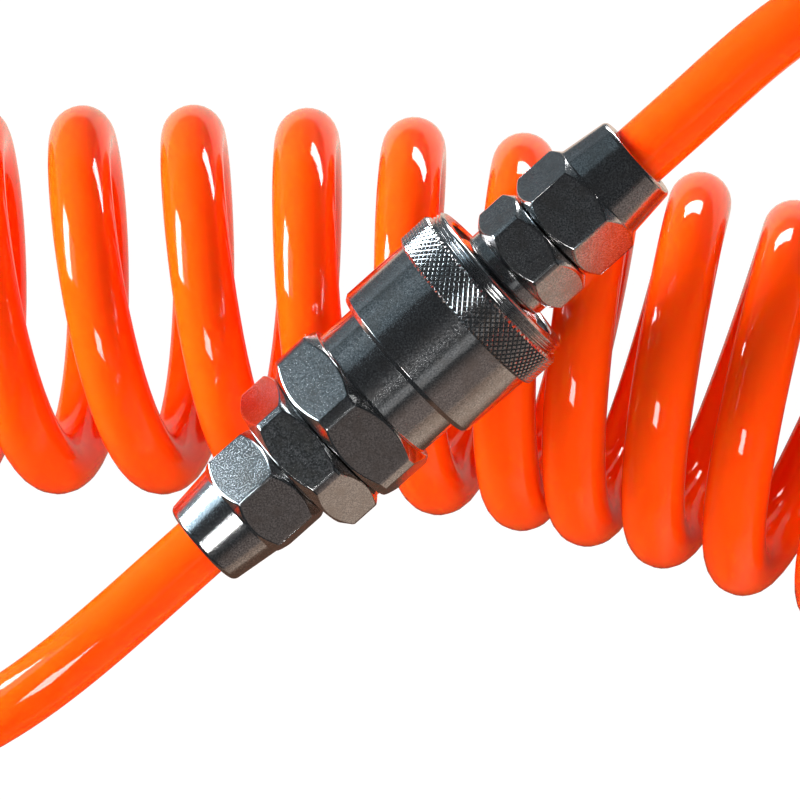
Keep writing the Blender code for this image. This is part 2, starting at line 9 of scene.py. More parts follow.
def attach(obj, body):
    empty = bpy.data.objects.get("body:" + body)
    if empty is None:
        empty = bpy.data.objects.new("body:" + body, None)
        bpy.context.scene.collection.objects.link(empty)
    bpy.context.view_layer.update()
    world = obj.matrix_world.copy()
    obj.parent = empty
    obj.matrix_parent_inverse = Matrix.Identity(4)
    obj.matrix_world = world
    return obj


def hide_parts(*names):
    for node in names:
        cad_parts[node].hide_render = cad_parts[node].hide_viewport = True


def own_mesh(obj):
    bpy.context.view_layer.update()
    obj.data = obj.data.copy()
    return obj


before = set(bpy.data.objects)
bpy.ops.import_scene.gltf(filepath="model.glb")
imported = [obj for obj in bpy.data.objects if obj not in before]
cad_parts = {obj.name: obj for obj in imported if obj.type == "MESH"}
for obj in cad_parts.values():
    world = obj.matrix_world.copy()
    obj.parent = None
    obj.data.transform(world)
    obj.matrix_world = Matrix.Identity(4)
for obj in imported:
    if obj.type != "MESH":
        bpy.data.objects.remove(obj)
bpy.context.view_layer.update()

# Camera: stands well above the coil and looks almost straight down, leaning a little towards the plug's end.
# Its long lens fills the square frame with the coupler, so the coil and both tails run out of view.
MM = 0.001
CAMERA_LEAN = math.radians(8.0)
CAMERA_AIM = Vector((-1.45 * MM, -5.45 * MM, 77.2 * MM))
CAMERA_DISTANCE = 1300.0 * MM
FRAME_WIDTH = 123.08 * MM

camera_lens = bpy.data.cameras.new("camera")
camera_lens.lens = camera_lens.sensor_width * CAMERA_DISTANCE / FRAME_WIDTH
camera = bpy.data.objects.new("camera", camera_lens)
camera.location = CAMERA_AIM + CAMERA_DISTANCE * Vector((math.sin(CAMERA_LEAN), 0, math.cos(CAMERA_LEAN)))
camera.rotation_euler = (0, CAMERA_LEAN, 0)
bpy.context.scene.collection.objects.link(camera)
bpy.context.scene.camera = camera

# Coupler's axis: every metal piece is turned about one line, which lies level across the top of the coil.
# Stations along it are measured from the socket body's rear face, positive towards the plug.
COUPLER_CENTRE = Vector((2.1 * MM, 2.5 * MM, 76.8 * MM))
COUPLER_HEADING = math.radians(41.4)
BODY_FACE_BACK = 19.6 * MM

forward = Vector((math.cos(COUPLER_HEADING), math.sin(COUPLER_HEADING), 0))
upward = Vector((0, 0, 1))
coupler = (Matrix.Translation(COUPLER_CENTRE - forward * BODY_FACE_BACK)
           @ Matrix((upward, forward.cross(upward), forward)).transposed().to_4x4())

# Air hose: one length of glossy polyurethane tube, wound hot on a mandrel so that it keeps its turns.
# It leaves the socket's nut, drops to one end of the coil, and returns from the other end to the plug's nut.
HOSE_OD = 10.0 * MM
HOSE_BORE = 6.5 * MM
HOSE_SIDES = 28
COIL_RADIUS = 26.3 * MM
COIL_RISE = 25.8 * MM
COIL_START = Vector((-129.3 * MM, 10.6 * MM))
COIL_STRAIGHT = 87.0 * MM
COIL_BEND_RADIUS = 285.0 * MM
FIRST_LEAN = math.radians(6.6)
LAST_LEAN = math.radians(0.5)
TURN_PITCHES = [17.0, 17.0, 17.0, 17.0, 17.6, 16.4, 15.5, 16.0, 12.0, 13.9, 14.4, 17.0, 17.0, 17.0]
POINTS_PER_TURN = 48
SOCKET_HOSE_STOP = -14.5 * MM
PLUG_HOSE_STOP = 52.5 * MM
CLAMPED_LENGTH = 20.2 * MM
CLAMPED_POINTS = 8
PATH_STEPS = 20
SOCKET_ROUTE = [(-63.2, -52.9, 75.5), (-113.5, -58.2, 39.5)]
PLUG_ROUTE = [(63.0, 54.6, 76.5), (121.3, 53.4, 43.5)]


def coil_advance(turn):
    """How far along the coil's axis a turn has come."""
    pitches = [TURN_PITCHES[0]] + TURN_PITCHES + [TURN_PITCHES[-1]]
    marks = np.cumsum([-pitches[0] / 2] + pitches) * MM
    slopes = np.gradient(marks)
    place = turn + 0.5
    i = min(max(int(place), 0), len(marks) - 2)
    t = place - i
    return (marks[i] * (1 + 2 * t) * (1 - t) ** 2 + slopes[i] * t * (1 - t) ** 2
            + marks[i + 1] * t * t * (3 - 2 * t) + slopes[i + 1] * t * t * (t - 1))


def coil_point(turn):
    """The hose's centre on the coil, which starts on the floor and climbs its +Y side first."""
    advance = coil_advance(turn)
    bend = max(advance - COIL_STRAIGHT, 0) / COIL_BEND_RADIUS
    run = min(advance, COIL_STRAIGHT)
    axis = COIL_START + Vector((run, 0)) + COIL_BEND_RADIUS * Vector((math.sin(bend), math.cos(bend) - 1))
    side = FIRST_LEAN + (LAST_LEAN - FIRST_LEAN) * turn / (len(TURN_PITCHES) + 1) - bend
    angle = 2 * math.pi * turn
    reach = COIL_RADIUS * math.sin(angle)
    return Vector((axis.x - reach * math.sin(side), axis.y + reach * math.cos(side),
                   HOSE_OD / 2 + COIL_RISE * (1 - math.cos(angle))))


def smooth_path(points, leaving, arriving, spacing):
    """Evenly spaced points on the evenest curve through the given ones, with its directions at both ends."""
    knots = np.array([p[:] for p in points])
    chords = np.linalg.norm(np.diff(knots, axis=0), axis=1)
    slopes = np.vstack([leaving, np.diff(knots, axis=0) / chords[:, None], arriving])
    system = np.zeros((len(knots), len(knots)))
    for i, chord in enumerate(chords):
        system[i:i + 2, i:i + 2] += chord * np.array([[2, 1], [1, 2]])
    bends = np.linalg.solve(system, 6 * np.diff(slopes, axis=0))
    fine = []
    for i, chord in enumerate(chords):
        for t in np.linspace(0, 1, PATH_STEPS, endpoint=False):
            u = 1 - t
            fine.append(u * knots[i] + t * knots[i + 1]
                        + chord ** 2 / 6 * ((u ** 3 - u) * bends[i] + (t ** 3 - t) * bends[i + 1]))
    fine = np.array(fine + [knots[-1]])
    lengths = np.insert(np.cumsum(np.linalg.norm(np.diff(fine, axis=0), axis=1)), 0, 0)
    places = np.linspace(0, lengths[-1], round(lengths[-1] / spacing) + 1)
    return [Vector(p) for p in zip(*(np.interp(places, lengths, column) for column in fine.T))]


def tail_points(route, stop, outward, turn):
    """The tail from inside its nut to just short of the coil's end at the given turn."""
    inside = coupler @ Vector((0, 0, stop))
    outside = coupler @ Vector((0, 0, stop + outward * CLAMPED_LENGTH))
    end = coil_point(turn)
    along = (coil_point(turn + 0.001) - coil_point(turn - 0.001)) * outward
    along.z = 0
    along.normalize()
    knots = [outside] + [Vector(p) * MM for p in route] + [end + along * HOSE_OD]
    leaving = (outside - inside).normalized()
    clamped = [inside + (outside - inside) * i / CLAMPED_POINTS for i in range(CLAMPED_POINTS)]
    return clamped + smooth_path(knots, leaving, -along, HOSE_OD / 4)


def modifier_tree(name):
    """An empty Geometry Nodes tree with a mesh or curve in and a mesh out."""
    tree = bpy.data.node_groups.new(name, "GeometryNodeTree")
    tree.interface.new_socket("Geometry", in_out="INPUT", socket_type="NodeSocketGeometry")
    tree.interface.new_socket("Geometry", in_out="OUTPUT", socket_type="NodeSocketGeometry")
    return tree, tree.nodes.new("NodeGroupInput"), tree.nodes.new("NodeGroupOutput")


def add_input(tree, name, kind="NodeSocketFloat"):
    """A named input of a node tree."""
    return tree.interface.new_socket(name, in_out="INPUT", socket_type=kind)


def add_node(tree, kind, inputs=None, **settings):
    """A node with its settings, whose inputs are sockets to link or plain values."""
    made = tree.nodes.new(kind)
    for key, value in settings.items():
        setattr(made, key, value)
    for key, value in (inputs or {}).items():
        if isinstance(value, bpy.types.NodeSocket):
            tree.links.new(value, made.inputs[key])
        else:
            made.inputs[key].default_value = value
    return made


def sum_of(tree, operation, first, second=None):
    """One math node's result."""
    values = {0: first} if second is None else {0: first, 1: second}
    return add_node(tree, "ShaderNodeMath", values, operation=operation).outputs[0]


def ramp(tree, value, start, end, low=0.0, high=1.0):
    """A value that runs from low to high while another goes from start to end, and is level outside them."""
    return add_node(tree, "ShaderNodeMapRange", {
        "Value": value, "From Min": start, "From Max": end, "To Min": low, "To Max": high}).outputs["Result"]


def blend(tree, factor, first, second):
    """A colour between two others."""
    return add_node(tree, "ShaderNodeMix", {"Factor": factor, "A": first, "B": second},
                    data_type="RGBA").outputs["Result"]


def noise(tree, place, scale, detail):
    """A noise texture's value at a place."""
    return add_node(tree, "ShaderNodeTexNoise", {
        "Vector": place, "Scale": scale, "Detail": detail}).outputs["Fac"]


def use_tree(obj, tree, **values):
    """Puts the tree on the object, with its named inputs set by their sockets' identifiers."""
    modifier = obj.modifiers.new(tree.name, "NODES")
    modifier.node_group = tree
    for item in tree.interface.items_tree:
        key = item.name.replace(" ", "_")
        if item.in_out == "INPUT" and key in values:
            modifier[item.identifier] = values[key]


def plain_mesh(obj, name):
    """A new object at the origin whose plain mesh is what the object's modifiers make; the object goes."""
    depsgraph = bpy.context.evaluated_depsgraph_get()
    mesh = bpy.data.meshes.new_from_object(obj.evaluated_get(depsgraph), depsgraph=depsgraph)
    bpy.data.objects.remove(obj)
    mesh.name = name
    piece = bpy.data.objects.new(name, mesh)
    bpy.context.scene.collection.objects.link(piece)
    return piece


def new_material(name):
    """A material whose only nodes so far are its shader and output."""
    material = bpy.data.materials.new(name)
    material.use_nodes = True
    return material, material.node_tree, material.node_tree.nodes["Principled BSDF"]


turns = len(TURN_PITCHES) + 1
hose_path = tail_points(SOCKET_ROUTE, SOCKET_HOSE_STOP, -1, 0)
hose_path += [coil_point(i / POINTS_PER_TURN) for i in range(turns * POINTS_PER_TURN + 1)]
hose_path += reversed(tail_points(PLUG_ROUTE, PLUG_HOSE_STOP, 1, turns))

polyurethane, tree, shader = new_material("orange polyurethane")
along = add_node(tree, "ShaderNodeAttribute", attribute_name="along")
around = add_node(tree, "ShaderNodeAttribute", attribute_name="around")
place = add_node(tree, "ShaderNodeTexCoord")
batch = add_node(tree, "ShaderNodeTexNoise", {"W": along.outputs["Fac"], "Scale": 40.0, "Detail": 3.0},
                 noise_dimensions="1D")
tint = blend(tree, batch.outputs["Fac"], (0.93, 0.064, 0.0015, 1), (0.95, 0.070, 0.0020, 1))
tree.links.new(tint, shader.inputs["Base Color"])
streaks = noise(tree, around.outputs["Vector"], 9.0, 4.0)
tree.links.new(ramp(tree, streaks, 0.3, 0.7, 0.02, 0.045), shader.inputs["Roughness"])
ripple = noise(tree, place.outputs["Object"], 140.0, 2.0)
bump = add_node(tree, "ShaderNodeBump", {"Height": ripple, "Strength": 0.03, "Distance": 0.0004})
tree.links.new(bump.outputs["Normal"], shader.inputs["Normal"])
shader.inputs["Subsurface Weight"].default_value = 1.0
shader.inputs["Subsurface Radius"].default_value = (1.0, 0.25, 0.08)
shader.inputs["Subsurface Scale"].default_value = 0.003
shader.inputs["Specular IOR Level"].default_value = 0.45

hose_tree, group_in, group_out = modifier_tree("hose wall")
add_input(hose_tree, "Outside diameter")
add_input(hose_tree, "Sides", "NodeSocketInt")
half = sum_of(hose_tree, "MULTIPLY", group_in.outputs["Outside diameter"], 0.5)
ring = add_node(hose_tree, "GeometryNodeCurvePrimitiveCircle", {
    "Resolution": group_in.outputs["Sides"], "Radius": half})
ring_place = add_node(hose_tree, "GeometryNodeInputPosition")
ring_unit = add_node(hose_tree, "ShaderNodeVectorMath", {0: ring_place.outputs[0]}, operation="NORMALIZE")
ring_named = add_node(hose_tree, "GeometryNodeStoreNamedAttribute", {
    "Geometry": ring.outputs["Curve"], "Name": "around", "Value": ring_unit.outputs[0]},
    data_type="FLOAT_VECTOR", domain="POINT")
length = add_node(hose_tree, "GeometryNodeSplineParameter")
line_named = add_node(hose_tree, "GeometryNodeStoreNamedAttribute", {
    "Geometry": group_in.outputs["Geometry"], "Name": "along", "Value": length.outputs["Length"]},
    data_type="FLOAT", domain="POINT")
sweep = add_node(hose_tree, "GeometryNodeCurveToMesh", {
    "Curve": line_named.outputs["Geometry"], "Profile Curve": ring_named.outputs["Geometry"]})
realized = add_node(hose_tree, "GeometryNodeRealizeInstances", {"Geometry": sweep.outputs["Mesh"]})
coloured = add_node(hose_tree, "GeometryNodeSetMaterial", {
    "Geometry": realized.outputs["Geometry"], "Material": polyurethane})
hose_tree.links.new(coloured.outputs["Geometry"], group_out.inputs["Geometry"])

hose_line = bpy.data.curves.new("hose_line", "CURVE")
hose_line.dimensions = "3D"
spline = hose_line.splines.new("POLY")
spline.points.add(len(hose_path) - 1)
for point, spot in zip(spline.points, hose_path):
    point.co = (*spot, 1)
hose_guide = bpy.data.objects.new("hose_guide", hose_line)
bpy.context.scene.collection.objects.link(hose_guide)
use_tree(hose_guide, hose_tree, Outside_diameter=HOSE_OD, Sides=HOSE_SIDES)
hose_shell = plain_mesh(hose_guide, "hose_shell")
wall = hose_shell.modifiers.new("wall", "SOLIDIFY")
wall.thickness = (HOSE_OD - HOSE_BORE) / 2
wall.offset = -1
hose = plain_mesh(hose_shell, "air_hose")
hose.data.shade_smooth()
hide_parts("hose_coil", "socket_tail", "plug_tail")
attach(hose, "hose_and_socket")

# Nickel plate: the thin bright coat on every steel piece outside, laid over a ground or turned surface.
# Close to, it is a fine sparkling grain, cloudy in patches and a little tarnished.
GRAIN_SCALE = 3800.0
LINE_SCALE = 5500.0
BRASS_LINE_SCALE = 4000.0

plate_grain = bpy.data.node_groups.new("plate grain", "ShaderNodeTree")
add_input(plate_grain, "Vector", "NodeSocketVector")
for label in ["Grain scale", "Smoothest", "Roughest"]:
    add_input(plate_grain, label)
plate_grain.interface.new_socket("Colour", in_out="OUTPUT", socket_type="NodeSocketColor")
for label in ["Roughness", "Height"]:
    plate_grain.interface.new_socket(label, in_out="OUTPUT", socket_type="NodeSocketFloat")
group_in = plate_grain.nodes.new("NodeGroupInput")
group_out = plate_grain.nodes.new("NodeGroupOutput")
fine = add_node(plate_grain, "ShaderNodeTexNoise", {
    "Vector": group_in.outputs["Vector"], "Scale": group_in.outputs["Grain scale"],
    "Detail": 2.0, "Roughness": 0.6}).outputs["Fac"]
cloud = add_node(plate_grain, "ShaderNodeTexNoise", {
    "Vector": group_in.outputs["Vector"], "Scale": 320.0, "Detail": 5.0, "Roughness": 0.65})
patch = ramp(plate_grain, cloud.outputs["Fac"], 0.45, 0.70, 0.0, 0.8)
sparkle = ramp(plate_grain, fine, 0.35, 0.65)
bright = blend(plate_grain, sparkle, (0.40, 0.41, 0.42, 1), (0.80, 0.805, 0.81, 1))
tarnish = blend(plate_grain, patch, bright, (0.50, 0.475, 0.455, 1))
rough = ramp(plate_grain, fine, 0.35, 0.65, group_in.outputs["Smoothest"], group_in.outputs["Roughest"])
plate_grain.links.new(tarnish, group_out.inputs["Colour"])
plate_grain.links.new(rough, group_out.inputs["Roughness"])
plate_grain.links.new(fine, group_out.inputs["Height"])

turning = bpy.data.node_groups.new("turning lines", "ShaderNodeTree")
add_input(turning, "Vector", "NodeSocketVector")
add_input(turning, "Line scale")
turning.interface.new_socket("Height", in_out="OUTPUT", socket_type="NodeSocketFloat")
group_in = turning.nodes.new("NodeGroupInput")
group_out = turning.nodes.new("NodeGroupOutput")
station = add_node(turning, "ShaderNodeVectorMath", {0: group_in.outputs["Vector"], 1: tuple(forward)},
                   operation="DOT_PRODUCT")
lines = add_node(turning, "ShaderNodeTexNoise", {
    "W": station.outputs["Value"], "Scale": group_in.outputs["Line scale"], "Detail": 3.0},
    noise_dimensions="1D")
turning.links.new(lines.outputs["Fac"], group_out.inputs["Height"])


def plated(name, smoothest, roughest, grain_bump, line_bump):
    """Nickel plate with so rough a grain and such deep turning lines in its surface."""
    material, nodes, coat = new_material(name)
    spot = add_node(nodes, "ShaderNodeTexCoord")
    grain = add_node(nodes, "ShaderNodeGroup", {}, node_tree=plate_grain)
    marks = add_node(nodes, "ShaderNodeGroup", {}, node_tree=turning)
    for made in [grain, marks]:
        nodes.links.new(spot.outputs["Object"], made.inputs["Vector"])
    grain.inputs["Grain scale"].default_value = GRAIN_SCALE
    grain.inputs["Smoothest"].default_value = smoothest
    grain.inputs["Roughest"].default_value = roughest
    marks.inputs["Line scale"].default_value = LINE_SCALE
    first = add_node(nodes, "ShaderNodeBump", {
        "Height": marks.outputs["Height"], "Strength": line_bump, "Distance": 0.0001})
    second = add_node(nodes, "ShaderNodeBump", {
        "Height": grain.outputs["Height"], "Strength": grain_bump, "Distance": 0.0001,
        "Normal": first.outputs["Normal"]})
    nodes.links.new(grain.outputs["Colour"], coat.inputs["Base Color"])
    nodes.links.new(grain.outputs["Roughness"], coat.inputs["Roughness"])
    nodes.links.new(second.outputs["Normal"], coat.inputs["Normal"])
    coat.inputs["Metallic"].default_value = 1.0
    return material


ground_plate = plated("ground nickel plate", smoothest=0.13, roughest=0.20, grain_bump=0.11, line_bump=0.0)
turned_plate = plated("turned nickel plate", smoothest=0.125, roughest=0.175, grain_bump=0.03, line_bump=0.03)

# Socket's hose nut: a hexagon nut with a tapered collar, turned and milled from bar, then plated.
# It screws on the rear adapter and pinches the hose on the adapter's barb.
NUT_FLATS = 17.0 * MM
SOCKET_NUT_FACE = -8.5
VERTEX_UP = math.radians(30)
BROKEN_EDGE = 0.22 * MM
ROUND_COLUMNS = 144
FLAT_COLUMNS = 16


def column_angles(outline, flats, turn):
    """The angles at which a turned piece's outline is drawn, with the flats' limit on its radius at each."""
    if not flats:
        return [(2 * math.pi * i / ROUND_COLUMNS, math.inf) for i in range(ROUND_COLUMNS)]
    widest = max(radius for radius, _ in outline) * MM
    half_flat = math.acos(flats / 2 / widest)
    columns = []
    for side in range(6):
        middle = turn + side * math.pi / 3
        for i in range(FLAT_COLUMNS + 1):
            angle = half_flat * (2 * i / FLAT_COLUMNS - 1)
            columns.append((middle + angle, flats / 2 / math.cos(angle)))
        columns.append((middle + math.pi / 6, math.inf))
    return columns


def turned_shape(name, outline, flats=None, turn=0.0):
    """A mesh turned from a closed outline of (radius, station) points in millimetres.
    Where flats are given, each point wider than them slides down its chamfer to meet the flat."""
    shape = bmesh.new()
    count = len(outline)
    rings = []
    for angle, limit in column_angles(outline, flats, turn):
        ring = []
        for i, (radius, spot) in enumerate(outline):
            radius, spot = radius * MM, spot * MM
            if radius > limit:
                root = min((outline[i - 1], outline[(i + 1) % count]))
                share = (limit - root[0] * MM) / (radius - root[0] * MM)
                spot = root[1] * MM + share * (spot - root[1] * MM)
                radius = limit
            ring.append(shape.verts.new((radius * math.cos(angle), radius * math.sin(angle), spot)))
        rings.append(ring)
    for a, b in zip(rings, rings[1:] + rings[:1]):
        for i in range(count):
            j = (i + 1) % count
            shape.faces.new((a[i], a[j], b[j], b[i]))
    bmesh.ops.recalc_face_normals(shape, faces=shape.faces)
    shape.transform(coupler)
    mesh = bpy.data.meshes.new(name)
    shape.to_mesh(mesh)
    shape.free()
    mesh.shade_smooth()
    piece = bpy.data.objects.new(name, mesh)
    bpy.context.scene.collection.objects.link(piece)
    return piece


def break_edges(piece, width, segments=3):
    """Rounds the piece's edges and keeps its flats flat."""
    edge = piece.modifiers.new("edges", "BEVEL")
    edge.width = width
    edge.segments = segments
    edge.limit_method = "ANGLE"
    edge.angle_limit = math.radians(22)
    edge.use_clamp_overlap = False
    edge.miter_outer = "MITER_ARC"
    shading = piece.modifiers.new("shading", "WEIGHTED_NORMAL")
    shading.weight = 90
    shading.keep_sharp = True


def hose_nut_outline(face, outward):
    """Outside from the face to the collar's end, and back through the mouth and the thread."""
    steps = [(8.2, 0), (9.75, 1.45), (9.75, 8.2), (8.3, 9.6), (7.4, 17.2), (7.0, 17.7),
             (5.3, 17.7), (5.3, 8.5), (6.9, 6.9), (6.9, 0)]
    return [(radius, face + outward * step) for radius, step in steps]


def finish_piece(piece, name, material, body, slot, *nodes):
    """Makes the piece a plain mesh with its material, in place of its CAD nodes and on their body."""
    piece = plain_mesh(piece, name)
    piece.data.materials.clear()
    piece.data.materials.append(material)
    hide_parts(*nodes)
    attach(piece, body)
    return piece


socket_nut = turned_shape("socket_nut", hose_nut_outline(SOCKET_NUT_FACE, -1), NUT_FLATS, VERTEX_UP)
break_edges(socket_nut, BROKEN_EDGE)
finish_piece(socket_nut, "socket_nut", ground_plate, "hose_and_socket", "plated_steel", "socket_hose_nut")

# Rear adapter: a hexagon piece that screws into the back of the socket body and closes its valve chamber.
# Its own back end is the thread for the hose nut and the ridged barb for the hose.
ADAPTER_FLATS = 23.5 * MM


def barb_outline(face, outward):
    """Thread and barb from a hexagon's face to the barb's tip."""
    steps = [(6.6, 0), (6.6, 5.9), (6.2, 6.3), (2.95, 6.3), (2.95, 7.9)]
    for ridge in [8.85, 11.4, 13.95]:
        steps += [(2.6, ridge), (2.95, ridge + 0.5), (2.95, ridge + 1.2)]
    steps += [(2.6, 16.2), (1.9, 16.2)]
    return [(radius, face + outward * step) for radius, step in steps]


adapter = turned_shape("adapter", [
    (8.2, 3.6), (8.2, -0.3), (11.5, -0.3), (13.25, -1.8), (13.25, -6.4), (11.5, -7.9)]
    + barb_outline(-7.9, -1) + [(1.9, -3.0), (6.2, -3.0), (6.2, 3.6)], ADAPTER_FLATS)
break_edges(adapter, BROKEN_EDGE)
finish_piece(adapter, "adapter", ground_plate, "hose_and_socket", "plated_steel", "rear_adapter")

# Socket body: one bar of steel turned to a hexagon, a round neck and a thin tube, then plated.
# The tube takes the plug's nose, and six holes in it hold the locking balls.
BODY_FLATS = 26.0 * MM
BALL_STATION = 28.6 * MM
BALL_HOLE_DIAMETER = 4.6 * MM
BALL_COUNT = 6

body = turned_shape("body", [
    (8.5, 35.5), (8.9, 35.1), (8.9, 34.7), (8.2, 34.7), (8.2, 33.1), (8.9, 33.1), (8.9, 16.6),
    (11.45, 16.6), (11.85, 16.2), (11.85, 9.1), (12.75, 9.1), (14.5, 7.5), (14.5, 1.6), (12.75, 0.0),
    (10.2, 0.0), (10.2, 1.7), (8.5, 1.7), (8.5, 14.6), (6.2, 14.6), (6.2, 21.1), (8.0, 21.1),
    (8.0, 23.7), (6.2, 23.7), (6.2, 35.1), (6.6, 35.5)], BODY_FLATS, VERTEX_UP)
break_edges(body, BROKEN_EDGE)
body = plain_mesh(body, "body")
drills = bmesh.new()
for i in range(BALL_COUNT):
    bmesh.ops.create_cone(
        drills, cap_ends=True, segments=32, radius1=BALL_HOLE_DIAMETER / 2, radius2=BALL_HOLE_DIAMETER / 2,
        depth=8 * MM, matrix=coupler @ Matrix.Translation((0, 0, BALL_STATION))
        @ Matrix.Rotation(2 * math.pi * i / BALL_COUNT, 4, "Z") @ Matrix.Translation((8 * MM, 0, 0))
        @ Matrix.Rotation(math.pi / 2, 4, "Y"))
drill_mesh = bpy.data.meshes.new("drills")
drills.to_mesh(drill_mesh)
drills.free()
drill = bpy.data.objects.new("drills", drill_mesh)
bpy.context.scene.collection.objects.link(drill)
holes = body.modifiers.new("ball holes", "BOOLEAN")
holes.operation = "DIFFERENCE"
holes.object = drill
finish_piece(body, "socket_shell", turned_plate, "hose_and_socket", "plated_steel", "socket_body")
bpy.data.objects.remove(drill)

# Release sleeve: a turned steel ring that slides back on the body against its spring and frees the balls.
# Its rear rim is bevelled, and its front lip has a few fine grooves left by the lathe.
sleeve = turned_shape("sleeve", [
    (13.3, 35.9), (13.75, 35.55), (13.75, 35.25), (13.5, 35.15), (13.5, 35.0), (13.85, 34.9),
    (13.85, 34.65), (13.6, 34.55), (13.6, 34.4), (13.95, 34.3), (13.95, 34.05), (13.6, 33.9),
    (13.6, 28.2), (14.05, 28.0), (14.05, 16.5), (13.55, 15.75), (12.15, 15.75), (12.15, 25.6),
    (9.2, 25.6), (9.2, 28.6), (10.5, 33.1), (11.2, 33.1), (11.2, 35.6), (11.5, 35.9)])
break_edges(sleeve, 0.04 * MM, 2)
finish_piece(sleeve, "sleeve", turned_plate, "sleeve", "plated_steel", "release_sleeve")

# Knurled grip: the band round the sleeve that fingers pull on, rolled with two crossing sets of grooves.
# It stands a little proud of the sleeve, and its edges are chamfered.
GROOVES = 88
STEPS_PER_GROOVE = 8
CREST_HEIGHT = 0.5
RIM_SHARE = 0.07
RIM_DROP = 0.45 * MM

knurl_tree, group_in, group_out = modifier_tree("knurl")
for label in ["Outside radius", "Seat radius", "Start", "Width", "Depth", "Slant"]:
    add_input(knurl_tree, label)
for label in ["Grooves", "Steps round", "Rows"]:
    add_input(knurl_tree, label, "NodeSocketInt")


def knurl_sum(operation, first, second=None):
    """One math node's result in the knurl's tree."""
    return sum_of(knurl_tree, operation, first, second)


steps = group_in.outputs["Steps round"]
rows = group_in.outputs["Rows"]
sheet = add_node(knurl_tree, "GeometryNodeMeshGrid", {
    "Size X": steps, "Size Y": knurl_sum("ADD", rows, 2.0),
    "Vertices X": knurl_sum("ADD", steps, 1.0), "Vertices Y": knurl_sum("ADD", rows, 3.0)})
flat_spot = add_node(knurl_tree, "GeometryNodeInputPosition")
corner = add_node(knurl_tree, "ShaderNodeSeparateXYZ", {0: flat_spot.outputs[0]})
step_number = knurl_sum("ADD", corner.outputs["X"], knurl_sum("DIVIDE", steps, 2.0))
first_row = knurl_sum("ADD", knurl_sum("DIVIDE", rows, 2.0), 1.0)
row_number = knurl_sum("ROUND", knurl_sum("ADD", corner.outputs["Y"], first_row))
turn_share = knurl_sum("DIVIDE", step_number, steps)
across = ramp(knurl_tree, row_number, 1.0, rows)
back_again = knurl_sum("GREATER_THAN", row_number, knurl_sum("ADD", rows, 1.5))
across = knurl_sum("MULTIPLY", across, knurl_sum("SUBTRACT", 1.0, back_again))
lie = knurl_sum("MULTIPLY", across, group_in.outputs["Slant"])
lay = knurl_sum("MULTIPLY", turn_share, group_in.outputs["Grooves"])
ridges = [knurl_sum("MULTIPLY", knurl_sum("PINGPONG", knurl_sum(sign, lay, lie), 0.5), 2.0)
          for sign in ["ADD", "SUBTRACT"]]
crest = knurl_sum("MINIMUM", knurl_sum("MINIMUM", ridges[0], ridges[1]), CREST_HEIGHT)
sunk = knurl_sum("MULTIPLY", knurl_sum("SUBTRACT", CREST_HEIGHT, crest), group_in.outputs["Depth"])
rim = knurl_sum("MINIMUM", across, knurl_sum("SUBTRACT", 1.0, across))
chamfer = ramp(knurl_tree, rim, 0.0, RIM_SHARE, RIM_DROP, 0.0)
outer = knurl_sum("SUBTRACT", knurl_sum("SUBTRACT", group_in.outputs["Outside radius"], sunk), chamfer)
past_last = knurl_sum("GREATER_THAN", row_number, knurl_sum("ADD", rows, 0.5))
buried = knurl_sum("MAXIMUM", knurl_sum("LESS_THAN", row_number, 0.5), past_last)
radius = add_node(knurl_tree, "ShaderNodeMix", {
    "Factor": buried, "A": outer, "B": group_in.outputs["Seat radius"]}, data_type="FLOAT").outputs["Result"]
rise = knurl_sum("MULTIPLY", across, group_in.outputs["Width"])
angle = knurl_sum("MULTIPLY", turn_share, 2 * math.pi)
spot = add_node(knurl_tree, "ShaderNodeCombineXYZ", {
    "X": knurl_sum("MULTIPLY", radius, knurl_sum("COSINE", angle)),
    "Y": knurl_sum("MULTIPLY", radius, knurl_sum("SINE", angle)),
    "Z": knurl_sum("ADD", group_in.outputs["Start"], rise)})
wrapped = add_node(knurl_tree, "GeometryNodeSetPosition", {
    "Geometry": sheet.outputs["Mesh"], "Position": spot.outputs["Vector"]})
closed = add_node(knurl_tree, "GeometryNodeMergeByDistance", {
    "Geometry": wrapped.outputs["Geometry"], "Distance": 0.001 * MM})
realized = add_node(knurl_tree, "GeometryNodeRealizeInstances", {"Geometry": closed.outputs["Geometry"]})
coloured = add_node(knurl_tree, "GeometryNodeSetMaterial", {
    "Geometry": realized.outputs["Geometry"], "Material": turned_plate})
knurl_tree.links.new(coloured.outputs["Geometry"], group_out.inputs["Geometry"])

knurl_guide = bpy.data.objects.new("knurl_guide", bpy.data.meshes.new("knurl_guide"))
bpy.context.scene.collection.objects.link(knurl_guide)
use_tree(knurl_guide, knurl_tree, Outside_radius=14.9 * MM, Seat_radius=13.62 * MM, Start=28.0 * MM,
         Width=5.7 * MM, Depth=0.27 * MM, Slant=5.25, Grooves=GROOVES,
         Steps_round=GROOVES * STEPS_PER_GROOVE, Rows=43)
knurl = plain_mesh(knurl_guide, "knurled_grip")
shape = bmesh.new()
shape.from_mesh(knurl.data)
shape.transform(coupler)
bmesh.ops.recalc_face_normals(shape, faces=shape.faces)
shape.to_mesh(knurl.data)
shape.free()
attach(knurl, "sleeve")

# Plug: its nose goes into the socket, where the balls drop into its groove; the rest is a neck, a hexagon,
# a thread and a barb. It is turned from one bar, milled to its hexagon and plated.
PLUG_FLATS = 17.0 * MM

